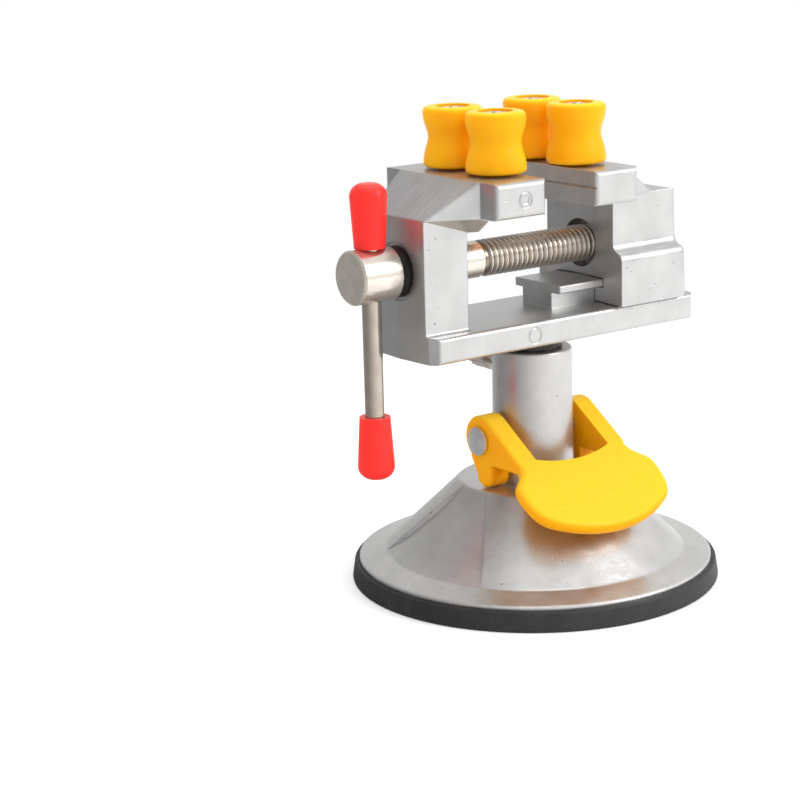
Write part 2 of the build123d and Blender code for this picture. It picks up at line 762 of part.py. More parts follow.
with BuildPart() as vise_body:
    for casting in (bed, upright.part, fixed_bar, rail, fixed_neck):
        add(casting)
    foot_edges = vise_body.edges().filter_by(
        lambda e: bed_top_z < e.center().Z < bed_top_z + 2 * bed_ridge
        and e.center().X < jaw_root_x + pick_tolerance
        and e.center().X > upright_left + pick_tolerance
        and abs(e.center().Y) < upright_half_width + pick_tolerance
    )
    fillet(foot_edges, radius=upright_foot_round)
    neck_edges = vise_body.edges().filter_by(GeomType.LINE).filter_by(
        lambda e: e.center().Z > bar_bottom_z + pick_tolerance
        and e.center().X < jaw_root_x - pick_tolerance
        and e.length > upright_half_width
    )
    fillet(neck_edges, radius=neck_edge_round)
    add(fixed_groove, mode=Mode.SUBTRACT)
    with Locations(screw_plane.offset(upright_left - cut_over)):
        Cylinder(
            thread_radius + running_gap,
            jaw_root_x - upright_left + 2 * cut_over,
            align=(Align.CENTER, Align.CENTER, Align.MIN),
            mode=Mode.SUBTRACT,
        )
        Cylinder(
            spotface_radius,
            cut_over + spotface_depth,
            align=(Align.CENTER, Align.CENTER, Align.MIN),
            mode=Mode.SUBTRACT,
        )
    with Locations(pin_plane.offset(cut_over)):
        Cylinder(
            retaining_pin_radius + seated_gap,
            retaining_pin_length + cut_over + hole_end_gap,
            align=(Align.CENTER, Align.CENTER, Align.MAX),
            mode=Mode.SUBTRACT,
        )
    with Locations((0, 0, bed_bottom_z)):
        Cylinder(
            spigot_stub_radius + seated_gap,
            spigot_stub_length + face_gap,
            align=(Align.CENTER, Align.CENTER, Align.MIN),
            mode=Mode.SUBTRACT,
        )
        Cylinder(
            neck_radius + rail_gap,
            2 * bed_ridge,
            align=(Align.CENTER, Align.CENTER, Align.MAX),
            mode=Mode.SUBTRACT,
        )
    for side in sides:
        with Locations((fixed_peg_x, side * peg_spacing / 2, jaw_top_z)):
            Hole(peg_screw_radius + seated_gap, depth=peg_screw_grip + face_gap)
    bed_mark_z = (bed_bottom_z + bed_top_z) / 2 + bed_mark_z_offset
    bar_mark_z = bar_bottom_z + jaw_bar_depth / 2
    for mark_x, mark_y, mark_z, stamp_sides in (
        (bed_mark_x, -bed_half_width, bed_mark_z, 0),
        (bar_mark_x, -jaw_bar_half_length, bar_mark_z, 5),
    ):
        with BuildSketch(Plane(origin=(mark_x, mark_y, mark_z), x_dir=(1, 0, 0), z_dir=(0, -1, 0))):
            Circle(ejector_mark_radius)
            Circle(ejector_mark_radius - ejector_mark_groove, mode=Mode.SUBTRACT)
            if stamp_sides:
                RegularPolygon(ejector_mark_point_radius, stamp_sides, rotation=90)
        extrude(amount=-ejector_mark_depth, mode=Mode.SUBTRACT)
finish(vise_body, "vise_body")

# ================================================================== thrust washer and retaining pin
with BuildPart() as thrust_washer:
    with BuildSketch(screw_plane.offset(washer_seat_x - washer_thickness)):
        Circle(washer_radius)
        Circle(thread_radius + running_gap, mode=Mode.SUBTRACT)
    extrude(amount=washer_thickness)
finish(thrust_washer, "thrust_washer")

with BuildPart() as retaining_pin:
    with BuildSketch(pin_plane):
        Circle(retaining_pin_radius)
    extrude(amount=-retaining_pin_length)
finish(retaining_pin, "retaining_pin")

# ================================================================== sliding jaw
# One casting that hooks over the T-rail and carries the second bar and the nut.
block_bottom_z = bed_top_z + rail_gap
block_top_z = bed_top_z + block_height
shoulder_z = bed_top_z + block_shoulder_height
foot_z = bed_top_z + block_foot_height
ogee_middle = (
    (block_top_half_width + block_foot_half_width) / 2,
    (shoulder_z + foot_z) / 2,
)
slot_top_z = rail_top_z + rail_gap
slot_lip_z = rail_plate_bottom_z - rail_gap
slot_half_width = rail_plate_half_width + rail_gap
slot_neck_half_width = rail_stem_half_width + rail_gap
foot_rise = (block_foot_half_width - slot_neck_half_width) * tan(radians(casting_draft))

with BuildPart() as jaw_block:
    with BuildSketch(Plane.YZ.offset(block_left_x)) as block_section:
        with BuildLine():
            Polyline(
                (0, block_top_z),
                (block_top_half_width, block_top_z),
                (block_top_half_width, shoulder_z),
            )
            TangentArc((block_top_half_width, shoulder_z), ogee_middle, tangent=(0, -1))
            TangentArc((block_foot_half_width, foot_z), ogee_middle, tangent=(0, 1))
            Polyline(
                (block_foot_half_width, foot_z),
                (block_foot_half_width, block_bottom_z),
                (slot_neck_half_width, block_bottom_z + foot_rise),
                (slot_neck_half_width, slot_lip_z),
                (slot_half_width, slot_lip_z),
                (slot_half_width, slot_top_z),
                (0, slot_top_z + rail_ridge),
                (0, block_top_z),
            )
        make_face()
        mirror(about=Plane.YZ)
    extrude(amount=block_length + block_end_lean)
    outer_end = plane_through(
        (block_right_x, 0, block_top_z),
        (block_right_x, 1, block_top_z),
        (block_right_x + block_end_lean, 0, bed_top_z),
        (block_left_x, 0, block_top_z),
    )
    split(bisect_by=outer_end, keep=Keep.TOP)
    far_outline = jaw_block.faces().sort_by(Axis.X)[-1].edges().filter_by(
        lambda e: abs(e.center().Y) > slot_half_width + rail_gap or e.center().Z > slot_top_z + rail_ridge
    )
    fillet(far_outline, radius=block_round)

sliding_bar = cast_block(
    sliding_face_x, block_left_x, bar_bottom_z, jaw_top_z, jaw_bar_half_length, jaw_bar_round
)
sliding_neck = jaw_neck(
    block_left_x + slope_run, block_top_half_width, block_top_z, block_left_x, sliding_crook_drop
)
sliding_groove = groove_cutter(sliding_face_x, 1)
sliding_peg_x = sliding_face_x + sliding_peg_setback

with BuildPart() as moving_jaw:
    for casting in (jaw_block.part, sliding_bar, sliding_neck):
        add(casting)
    add(sliding_groove, mode=Mode.SUBTRACT)
    with Locations(screw_plane.offset(block_left_x - cut_over)):
        Cylinder(
            thread_radius + 2 * running_gap,
            block_length + 2 * cut_over,
            align=(Align.CENTER, Align.CENTER, Align.MIN),
            mode=Mode.SUBTRACT,
        )
        Cylinder(
            screw_port_radius,
            screw_port_depth + cut_over,
            align=(Align.CENTER, Align.CENTER, Align.MIN),
            mode=Mode.SUBTRACT,
        )
    with BuildSketch(screw_plane.offset(nut_x)):
        RegularPolygon(nut_across_flats / 2 + nut_corner_gap, 6, major_radius=False)
    extrude(amount=nut_thickness + nut_pocket_wall + cut_over, mode=Mode.SUBTRACT)
    for side in sides:
        with Locations((sliding_peg_x, side * peg_spacing / 2, jaw_top_z)):
            Hole(peg_screw_radius + seated_gap, depth=peg_screw_grip + face_gap)
finish(moving_jaw, "moving_jaw")

# ================================================================== jaw nut
with BuildPart() as jaw_nut:
    with BuildSketch(screw_plane.offset(nut_x)):
        RegularPolygon(nut_across_flats / 2, 6, major_radius=False)
        Circle(thread_radius + running_gap, mode=Mode.SUBTRACT)
    extrude(amount=nut_thickness)
finish(jaw_nut, "jaw_nut")

# ================================================================== lead screw
# A headed screw: cross-drilled head, plain shank with a retaining groove, then the thread.
thread_root_radius = thread_radius - thread_depth
thread_length = screw_end_x - thread_start_x

with BuildPart() as thread_rib:
    with BuildLine() as thread_path:
        Helix(
            pitch=thread_pitch,
            height=thread_length - 2 * thread_pitch,
            radius=thread_root_radius - rib_sink,
        )
    root_half = (thread_pitch - thread_root_flat) / 2
    crest_half = thread_crest_flat / 2
    with BuildSketch(
        Plane(origin=thread_path.line @ 0, x_dir=(1, 0, 0), z_dir=thread_path.line % 0)
    ):
        with BuildLine():
            Polyline(
                (0, -root_half),
                (thread_depth + rib_sink, -crest_half),
                (thread_depth + rib_sink, crest_half),
                (0, root_half),
                close=True,
            )
        make_face()
    sweep(path=thread_path.line, is_frenet=True)

thread_frame = Plane(
    origin=(thread_start_x + thread_pitch, 0, screw_z), x_dir=(0, 1, 0), z_dir=(1, 0, 0)
)
placed_rib = thread_frame.location * thread_rib.part

with BuildPart() as lead_screw:
    with BuildSketch(Plane.XZ) as screw_section:
        shank_groove_radius = thread_radius - retaining_groove_depth
        groove_left_x = retaining_pin_x - retaining_pin_radius - running_gap
        groove_right_x = retaining_pin_x + retaining_pin_radius + running_gap
        with BuildLine():
            Polyline(
                (screw_head_left_x, screw_z),
                (screw_head_left_x, screw_z + screw_head_radius),
                (screw_head_right_x, screw_z + screw_head_radius),
                (screw_head_right_x, screw_z + thread_radius),
                (groove_left_x, screw_z + thread_radius),
                (groove_left_x, screw_z + shank_groove_radius),
                (groove_right_x, screw_z + shank_groove_radius),
                (groove_right_x, screw_z + thread_radius),
                (thread_start_x, screw_z + thread_radius),
                (thread_start_x + thread_depth, screw_z + thread_root_radius),
                (screw_end_x, screw_z + thread_root_radius),
                (screw_end_x, screw_z),
                close=True,
            )
        make_face()
        head_corners = screw_section.vertices().sort_by(Axis.Y)[-2:]
        chamfer(head_corners, length=screw_head_chamfer)
    revolve(axis=Axis((0, 0, screw_z), (1, 0, 0)))
    add(placed_rib)
    with Locations((handle_x, 0, screw_z)):
        Cylinder(handle_radius + handle_hole_gap, 3 * screw_head_radius, mode=Mode.SUBTRACT)
finish(lead_screw, "lead_screw")

# ================================================================== handle rod and caps
upper_mouth_z = screw_z + screw_head_radius + face_gap
lower_mouth_z = upper_mouth_z - handle_grip_span
with BuildPart() as handle_rod:
    with BuildSketch(Plane.XY.offset(lower_mouth_z - cap_bore_depth)):
        with Locations((handle_x, 0)):
            Circle(handle_radius)
    extrude(amount=handle_grip_span + 2 * cap_bore_depth)
finish(handle_rod, "handle_rod")


def handle_cap(mouth_z, direction):
    """A soft cap whose mouth lies at mouth_z and whose end points up (1) or down (-1)."""
    with BuildPart() as cap:
        with BuildSketch(Plane.XZ):
            with BuildLine():
                Polyline(
                    (0, direction * (cap_bore_depth + face_gap)),
                    (handle_radius + seated_gap, direction * (cap_bore_depth + face_gap)),
                    (handle_radius + seated_gap, 0),
                    (cap_mouth_radius, 0),
                    (cap_wide_radius, direction * cap_wide_at),
                )
                ThreePointArc(
                    (cap_wide_radius, direction * cap_wide_at),
                    (
                        (cap_wide_radius + cap_end_radius) / 2 + cap_shoulder,
                        direction * ((cap_wide_at + cap_length) / 2 + cap_shoulder),
                    ),
                    (cap_end_radius, direction * cap_length),
                )
                Polyline(
                    (cap_end_radius, direction * cap_length),
                    (0, direction * cap_length),
                    (0, direction * (cap_bore_depth + face_gap)),
                )
            make_face()
        revolve(axis=Axis.Z)
    return Location((handle_x, 0, mouth_z)) * cap.part


with BuildPart() as upper_cap:
    add(handle_cap(upper_mouth_z, 1))
finish(upper_cap, "handle_cap_upper")

with BuildPart() as lower_cap:
    add(handle_cap(lower_mouth_z, -1))
finish(lower_cap, "handle_cap_lower")

# ================================================================== pegs and peg screws
# Four waisted plastic pegs, each turning on a shouldered cross-head screw.
recess_floor = peg_height - peg_recess_depth
peg_bore_radius = peg_screw_radius + running_gap
peg_places = {
    "fixed_front": (fixed_peg_x, -peg_spacing / 2),
    "fixed_rear": (fixed_peg_x, peg_spacing / 2),
    "moving_front": (sliding_peg_x, -peg_spacing / 2),
    "moving_rear": (sliding_peg_x, peg_spacing / 2),
}

for place_name, (peg_x, peg_y) in peg_places.items():
    peg_frame = Plane(origin=(peg_x, peg_y, jaw_top_z + face_gap))
    peg_axis = Axis((peg_x, peg_y, 0), (0, 0, 1))
    with BuildPart() as peg:
        with BuildSketch(Plane(peg_frame.origin, x_dir=(1, 0, 0), z_dir=(0, -1, 0))) as peg_section:
            with BuildLine():
                Polyline(
                    (peg_bore_radius, 0),
                    (peg_hub_radius, 0),
                    (peg_hub_radius, peg_foot_height),
                    (peg_foot_radius, peg_foot_height),
                )
                TangentArc(
                    (peg_radius, peg_lower_bulge),
                    (peg_foot_radius, peg_foot_height),
                    tangent=(0, -1),
                )
                Spline(
                    (peg_radius, peg_lower_bulge),
                    (peg_waist_radius, peg_waist_height),
                    (peg_radius, peg_upper_bulge),
                    tangents=((0, 1), (0, 1)),
                )
                TangentArc(
                    (peg_radius, peg_upper_bulge), (peg_crown_radius, peg_height), tangent=(0, 1)
                )
                Polyline(
                    (peg_crown_radius, peg_height),
                    (peg_recess_radius, peg_height),
                    (peg_recess_radius, recess_floor),
                    (peg_bore_radius, recess_floor),
                    (peg_bore_radius, 0),
                )
            make_face()
            crown_corner = peg_section.vertices().sort_by(Axis.Y)[-2:].sort_by(Axis.X)[-1]
            fillet(crown_corner, radius=peg_crown_round)
        revolve(axis=peg_axis)
    finish(peg, f"peg_{place_name}")

    head_seat_z = jaw_top_z + 2 * face_gap + recess_floor
    with BuildPart() as peg_screw:
        with BuildSketch(Plane.XY.offset(head_seat_z)):
            with Locations((peg_x, peg_y)):
                Circle(peg_screw_head_radius)
        extrude(amount=peg_screw_head_height)
        crown = peg_screw.edges().filter_by(GeomType.CIRCLE).sort_by(Axis.Z)[-1]
        fillet(crown, radius=peg_screw_head_round)
        with BuildSketch(Plane.XY.offset(jaw_top_z - peg_screw_grip)):
            with Locations((peg_x, peg_y)):
                Circle(peg_screw_radius)
        extrude(amount=head_seat_z - jaw_top_z + peg_screw_grip)
        with BuildSketch(Plane.XY.offset(head_seat_z + peg_screw_head_height)):
            with Locations((peg_x, peg_y)):
                Rectangle(driver_slot_length, driver_slot_width)
                Rectangle(driver_slot_width, driver_slot_length)
        extrude(amount=-driver_slot_depth, mode=Mode.SUBTRACT)
    finish(peg_screw, f"peg_screw_{place_name}")

print("axle height", round(axle_z, 3), "screw height", round(screw_z, 3))
print("top", round(jaw_top_z + peg_height, 3))
print("lever ratio", round(cup_lift / radians(lever_swing), 5), "mm per radian")
print("gap between pegs", round(sliding_peg_x - fixed_peg_x - 2 * peg_radius, 3))
handle_travel = screw_z - screw_head_radius - face_gap - lower_mouth_z
print("screw turns per mm", round(1 / thread_pitch, 4), "handle travel", round(handle_travel, 3))
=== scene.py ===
"""Looks for the suction base vise: finishes, studio and camera."""

from __future__ import annotations

import logging
import math
from dataclasses import dataclass, field
from enum import Enum

import bpy
from mathutils import Matrix, Vector


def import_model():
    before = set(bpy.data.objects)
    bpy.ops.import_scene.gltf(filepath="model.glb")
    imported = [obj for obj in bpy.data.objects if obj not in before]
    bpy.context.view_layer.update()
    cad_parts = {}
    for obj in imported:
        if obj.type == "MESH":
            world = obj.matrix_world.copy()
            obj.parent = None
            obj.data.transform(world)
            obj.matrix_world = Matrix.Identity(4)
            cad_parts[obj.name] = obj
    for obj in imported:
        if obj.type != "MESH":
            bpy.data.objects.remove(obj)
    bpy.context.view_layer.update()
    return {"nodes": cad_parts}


LOG = logging.getLogger("suction_vise")
MM = 0.001

Colour = tuple[float, float, float]
Triple = tuple[float, float, float]
Span = tuple[float, float]

UP: Triple = (0.0, 0.0, 1.0)
WHITE: Colour = (1.0, 1.0, 1.0)
BEVEL_SAMPLES = 6

# Cosines between a rounded and a plain normal: below the first is edge, above the second is face.
EDGE_COSINES: Span = (0.84, 0.985)

# The middle part of a noise's values, which is spread over a finish's whole range.
CLOUD_SPAN: Span = (0.3, 0.7)


class Graph:
    """A short way to write a material's or a world's node tree."""

    def __init__(self, owner: bpy.types.Material | bpy.types.World) -> None:
        """Clear the owner's tree.

        Args:
            owner: The material or world whose nodes are written.
        """
        owner.use_nodes = True
        self.tree = owner.node_tree
        self.tree.nodes.clear()

    def node(self, kind: str, **settings: object) -> bpy.types.Node:
        """Add one node.

        Args:
            kind: The node's type name.
            settings: Properties of the node, such as blend_type.

        Returns:
            The new node.
        """
        made = self.tree.nodes.new(kind)
        for name, value in settings.items():
            setattr(made, name, value)
        return made

    def put(self, node: bpy.types.Node, socket: str | int, value: object) -> None:
        """Link a socket or set a plain value on a node's input.

        Args:
            node: The node that receives it.
            socket: The input's name or index.
            value: An output socket, or a plain number, colour or vector.
        """
        if isinstance(value, bpy.types.NodeSocket):
            self.tree.links.new(value, node.inputs[socket])
        else:
            node.inputs[socket].default_value = value

    def math(self, operation: str, first: object, second: object = 0.0) -> bpy.types.NodeSocket:
        """Add a maths node.

        Args:
            operation: The operation's name.
            first: The first input.
            second: The second input.

        Returns:
            The result's socket.
        """
        made = self.node("ShaderNodeMath", operation=operation)
        self.put(made, 0, first)
        self.put(made, 1, second)
        return made.outputs[0]

    def times(self, first: object, second: object) -> bpy.types.NodeSocket:
        """Multiply two numbers."""
        return self.math("MULTIPLY", first, second)

    def cosine(self, first: object, second: object) -> bpy.types.NodeSocket:
        """Add the dot product of two unit vectors.

        Args:
            first: The first vector.
            second: The second vector.

        Returns:
            The product's socket.
        """
        made = self.node("ShaderNodeVectorMath", operation="DOT_PRODUCT")
        self.put(made, 0, first)
        self.put(made, 1, second)
        return made.outputs["Value"]

    def parts(self, where: bpy.types.NodeSocket) -> bpy.types.NodeOutputs:
        """Split coordinates.

        Args:
            where: The coordinates.

        Returns:
            The outputs, named X, Y and Z.
        """
        made = self.node("ShaderNodeSeparateXYZ")
        self.put(made, 0, where)
        return made.outputs

    def place(
        self, stretch: Triple = (1.0, 1.0, 1.0), turn: Triple = (0.0, 0.0, 0.0)
    ) -> bpy.types.NodeSocket:
        """Add the piece's own coordinates, turned and then stretched.

        Args:
            stretch: Factors along X, Y and Z.
            turn: Rotation in radians about X, Y and Z, before the stretch.

        Returns:
            The coordinates' socket.
        """
        where = self.node("ShaderNodeTexCoord").outputs["Object"]
        if any(turn):
            spin = self.node("ShaderNodeVectorRotate", rotation_type="EULER_XYZ")
            self.put(spin, "Vector", where)
            self.put(spin, "Rotation", turn)
            where = spin.outputs[0]
        scale = self.node("ShaderNodeVectorMath", operation="MULTIPLY")
        self.put(scale, 0, where)
        self.put(scale, 1, stretch)
        return scale.outputs[0]

    def noise(
        self, where: bpy.types.NodeSocket, size: float, detail: float = 2.0, rough: float = 0.5
    ) -> bpy.types.NodeSocket:
        """Add a noise texture.

        Args:
            where: Coordinates in metres.
            size: Size of one feature in metres.
            detail: How many finer layers are added.
            rough: Strength of the finer layers.

        Returns:
            The noise value's socket, from 0 to 1.
        """
        made = self.node("ShaderNodeTexNoise")
        self.put(made, "Vector", where)
        self.put(made, "Scale", 1.0 / size)
        self.put(made, "Detail", detail)
        self.put(made, "Roughness", rough)
        return made.outputs["Fac"]

    def spread(
        self, value: object, low: float, high: float, to_low: float = 0.0, to_high: float = 1.0
    ) -> bpy.types.NodeSocket:
        """Map a range of values to another, clamped.

        Args:
            value: The input.
            low: Input that gives to_low.
            high: Input that gives to_high.
            to_low: Result at low.
            to_high: Result at high.

        Returns:
            The mapped value's socket.
        """
        made = self.node("ShaderNodeMapRange")
        for index, item in enumerate((value, low, high, to_low, to_high)):
            self.put(made, index, item)
        return made.outputs[0]

    def blend(self, amount: object, first: object, second: object) -> bpy.types.NodeSocket:
        """Mix two colours.

        Args:
            amount: How much of the second colour shows.
            first: The first colour.
            second: The second colour.

        Returns:
            The mixed colour's socket.
        """
        made = self.node("ShaderNodeMix", data_type="RGBA")
        self.put(made, 0, amount)
        for index, colour in ((6, first), (7, second)):
            linked = isinstance(colour, bpy.types.NodeSocket)
            self.put(made, index, colour if linked else (*colour, 1.0))
        return made.outputs[2]

    def bump(
        self, height: object, depth: float, under: bpy.types.NodeSocket | None = None
    ) -> bpy.types.NodeSocket:
        """Add a bump.

        Args:
            height: The height field, from 0 to 1.
            depth: Height in metres of a full step.
            under: A normal that this bump is added to.

        Returns:
            The bumped normal's socket.
        """
        made = self.node("ShaderNodeBump")
        self.put(made, "Strength", 1.0)
        self.put(made, "Distance", depth)
        self.put(made, "Height", height)
        if under is not None:
            self.put(made, "Normal", under)
        return made.outputs[0]

    def soft_edges(self, radius: float) -> bpy.types.NodeSocket:
        """Add a normal that rounds the piece's edges.

        Args:
            radius: The rounding's radius in metres.

        Returns:
            The normal's socket.
        """
        made = self.node("ShaderNodeBevel", samples=BEVEL_SAMPLES)
        self.put(made, "Radius", radius)
        return made.outputs[0]

    def edges(self, rounded: bpy.types.NodeSocket) -> bpy.types.NodeSocket:
        """Add a mask that is 1 on the piece's edges and 0 on its faces.

        Args:
            rounded: The normal that soft_edges gave.

        Returns:
            The mask's socket.
        """
        plain = self.node("ShaderNodeNewGeometry").outputs["Normal"]
        return self.spread(self.cosine(rounded, plain), *EDGE_COSINES, 1.0, 0.0)

    def facing(self, direction: Triple) -> bpy.types.NodeSocket:
        """Add how far the piece's own surface faces a direction.

        Args:
            direction: A unit vector in the piece's frame.

        Returns:
            The cosine's socket.
        """
        return self.cosine(self.node("ShaderNodeTexCoord").outputs["Normal"], direction)


@dataclass(frozen=True)
class Finish:
    """What all finishes share: a name, a colour and a basic gloss."""

    name: str = "plain"
    colour: Colour = (0.5, 0.5, 0.5)
    roughness: float = 0.5
    metallic: float = 0.0

    def material(self) -> bpy.types.Material:
        """Return this finish's material, made on first use."""
        title = f"{self.name}_finish"
        known = bpy.data.materials.get(title)
        if known is not None:
            return known
        made = bpy.data.materials.new(title)
        graph = Graph(made)
        shader = graph.node("ShaderNodeBsdfPrincipled")
        output = graph.node("ShaderNodeOutputMaterial")
        graph.put(output, "Surface", shader.outputs[0])
        graph.put(shader, "Base Color", (*self.colour, 1.0))
        graph.put(shader, "Roughness", self.roughness)
        graph.put(shader, "Metallic", self.metallic)
        self.dress(graph, shader)
        made.diffuse_color = (*self.colour, 1.0)
        return made

    def dress(self, graph: Graph, shader: bpy.types.Node) -> None:
        """Add the finish's own texture; the plain finish has none."""


@dataclass(frozen=True)
class CastAlloy(Finish):
    """Silver-grey die casting: an uneven skin, pits, edges lightened partly by wear and partly by a
    painted highlight, and belt marks on dressed faces.
    """

    name: str = "cast_alloy"
    colour: Colour = (0.548, 0.544, 0.540)
    roughness: float = 0.34
    metallic: float = 0.9
    mottle_size: float = 6 * MM
    mottle_tones: Span = (0.90, 1.07)
    mottle_gloss: Span = (-0.04, 0.06)
    swell_size: float = 1.7 * MM
    swell_depth: float = 0.028 * MM
    skin_size: float = 0.45 * MM
    skin_depth: float = 0.012 * MM
    belt_stretch: Triple = (45.0, 2300.0, 45.0)
    belt_depth: float = 0.05 * MM
    belt_tone: float = 0.34
    belt_shade: float = 0.62
    belt_gloss: float = 0.10
    belt_span: Span = (0.46, 0.64)
    belt_facing: Triple = (-0.83, 0.0, 0.56)
    belt_cosines: Span = (0.80, 0.83)
    slope_facing: Triple = (-0.541, 0.0, 0.841)
    slope_cosines: Span = (0.80, 0.95)
    upright_share: float = 0.35
    pit_size: float = 0.85 * MM
    pit_depth: float = 0.05 * MM
    pit_span: Span = (0.735, 0.80)
    pit_amount: float = 0.55
    pit_tone: Colour = (0.16, 0.155, 0.15)
    worn_highlight_size: float = 1.3 * MM
    worn_highlight_span: Span = (0.36, 0.56)
    worn_highlight_amounts: Span = (0.15, 0.75)
    # Pale edge tone: partly wear, partly a painted highlight.
    worn_highlight_tone: Colour = (0.84, 0.835, 0.83)
    edge_radius: float = 0.28 * MM

    def dress(self, graph: Graph, shader: bpy.types.Node) -> None:
        """Add the colour, the gloss and the relief of the casting.

        Args:
            graph: The material's graph.
            shader: The material's shader node.
        """
        where = graph.place()
        mottle = graph.noise(where, self.mottle_size, detail=3.0)
        pits = graph.spread(graph.noise(where, self.pit_size, detail=1.0), *self.pit_span)
        rounded = graph.soft_edges(self.edge_radius)
        belt = graph.noise(graph.place(self.belt_stretch), 1.0, rough=0.6)
        dressed = graph.spread(graph.facing(self.belt_facing), *self.belt_cosines)
        worked = graph.times(belt, dressed)
        tone = self.lined(graph, self.mottled(graph, mottle), belt, dressed)
        # Edges blended towards the pale tone: partly wear, partly a painted highlight.
        tone = graph.blend(self.worn_highlight(graph, where, rounded), tone, self.worn_highlight_tone)
        tone = graph.blend(graph.times(pits, self.pit_amount), tone, self.pit_tone)
        graph.put(shader, "Base Color", tone)
        glosses = tuple(self.roughness + part for part in self.mottle_gloss)
        rough = graph.spread(mottle, *CLOUD_SPAN, *glosses)
        rough = graph.math("ADD", rough, graph.times(worked, self.belt_gloss))
        graph.put(shader, "Roughness", rough)
        swell = graph.noise(where, self.swell_size, detail=1.0)
        skin = graph.noise(where, self.skin_size)
        relief = graph.bump(graph.math("SUBTRACT", 1.0, pits), self.pit_depth, rounded)
        relief = graph.bump(swell, self.swell_depth, relief)
        relief = graph.bump(skin, self.skin_depth, relief)
        graph.put(shader, "Normal", graph.bump(worked, self.belt_depth, relief))

    def mottled(self, graph: Graph, mottle: bpy.types.NodeSocket) -> bpy.types.NodeSocket:
        """Add the casting's clouded colour.

        Args:
            graph: The material's graph.
            mottle: The noise that clouds it.

        Returns:
            The colour's socket.
        """
        dark, light = (
            tuple(min(1.0, level * part) for part in self.colour) for level in self.mottle_tones
        )
        return graph.blend(graph.spread(mottle, *CLOUD_SPAN), dark, light)

    def lined(
        self,
        graph: Graph,
        tone: bpy.types.NodeSocket,
        belt: bpy.types.NodeSocket,
        dressed: bpy.types.NodeSocket,
    ) -> bpy.types.NodeSocket:
        """Darken the belt marks, most on the sloped face.

        Args:
            graph: The material's graph.
            tone: The casting's colour.
            belt: The noise of the belt marks.
            dressed: Where the casting was dressed.

        Returns:
            The darkened colour's socket.
        """
        slope = graph.facing(self.slope_facing)
        sloped = graph.spread(slope, *self.slope_cosines, self.upright_share, 1.0)
        lines = graph.spread(belt, *self.belt_span, 0.0, self.belt_tone)
        lines = graph.times(lines, dressed)
        shade = tuple(self.belt_shade * part for part in self.colour)
        return graph.blend(graph.times(lines, sloped), tone, shade)

    def worn_highlight(
        self, graph: Graph, where: bpy.types.NodeSocket, rounded: bpy.types.NodeSocket
    ) -> bpy.types.NodeSocket:
        """Add how far the edges are lightened, in broken patches: partly wear, partly a painted
        highlight, on inside corners as well as outside edges.

        Args:
            graph: The material's graph.
            where: The piece's coordinates.
            rounded: The normal with softened edges.

        Returns:
            The wear's socket.
        """
        patches = graph.noise(where, self.worn_highlight_size, detail=3.0, rough=0.7)
        amount = graph.spread(patches, *self.worn_highlight_span, *self.worn_highlight_amounts)
        return graph.times(graph.edges(rounded), amount)


class Grain(Enum):
    """Which way fine marks run: factors that stretch the noise along X, Y and Z."""

    ROUND_X = (4200.0, 260.0, 260.0)
    ALONG_Z = (3600.0, 3600.0, 60.0)


@dataclass(frozen=True)
class TurnedSteel(Finish):
    """Plated or bright turned steel: fine tool marks and stains."""

    name: str = "plated_steel"
    colour: Colour = (0.74, 0.685, 0.615)
    roughness: float = 0.15
    metallic: float = 0.9
    grain: Grain = Grain.ROUND_X
    stain_size: float = 3.0 * MM
    stain_tone: float = 0.86
    stain_span: Span = (0.40, 0.68)
    dull_span: Span = (0.35, 0.75)
    dull_gloss: float = 0.13
    mark_depth: float = 0.0035 * MM
    edge_radius: float = 0.12 * MM

    def dress(self, graph: Graph, shader: bpy.types.Node) -> None:
        """Add stains, tool marks and softened edges.

        Args:
            graph: The material's graph.
            shader: The material's shader node.
        """
        stain = graph.noise(graph.place(), self.stain_size, detail=5.0, rough=0.65)
        dark = tuple(self.stain_tone * part for part in self.colour)
        tone = graph.blend(graph.spread(stain, *self.stain_span), self.colour, dark)
        graph.put(shader, "Base Color", self.shade(graph, tone))
        dull = self.roughness + self.dull_gloss
        rough = graph.spread(stain, *self.dull_span, self.roughness, dull)
        graph.put(shader, "Roughness", rough)
        marks = graph.noise(graph.place(self.grain.value), 1.0)
        rounded = graph.soft_edges(self.edge_radius)
        graph.put(shader, "Normal", graph.bump(marks, self.mark_depth, rounded))

    def shade(self, graph: Graph, tone: bpy.types.NodeSocket) -> bpy.types.NodeSocket:
        """Return the tone unchanged; a threaded finish paints shade into its grooves here."""
        return tone


@dataclass(frozen=True)
class ThreadedSteel(TurnedSteel):
    """Turned steel with shade painted at the bottom of the thread."""

    name: str = "screw_steel"
    colour: Colour = (0.77, 0.71, 0.635)
    roughness: float = 0.20
    axis_height: float = 67.9 * MM
    root_radius: float = 3.10 * MM
    crest_radius: float = 3.56 * MM
    thread_start: Span = (-14.6 * MM, -14.0 * MM)
    # Painted shade: the colour and amount that darken the thread towards its root.
    groove_shade: Colour = (0.26, 0.205, 0.155)
    groove_shade_amount: float = 0.90

    def shade(self, graph: Graph, tone: bpy.types.NodeSocket) -> bpy.types.NodeSocket:
        """Paint shade on the steel near the thread's root.

        Args:
            graph: The material's graph.
            tone: The steel's colour.

        Returns:
            The shaded colour's socket.
        """
        apart = graph.parts(graph.place())
        across = graph.math("POWER", apart["Y"], 2.0)
        above = graph.math("POWER", graph.math("SUBTRACT", apart["Z"], self.axis_height), 2.0)
        radius = graph.math("SQRT", graph.math("ADD", across, above))
        # Painted shade, strongest at the thread's root and gone at its crest.
        groove_shaded = graph.spread(radius, self.root_radius, self.crest_radius, self.groove_shade_amount, 0.0)
        threaded = graph.spread(apart["X"], *self.thread_start)
        return graph.blend(graph.times(groove_shaded, threaded), tone, self.groove_shade)


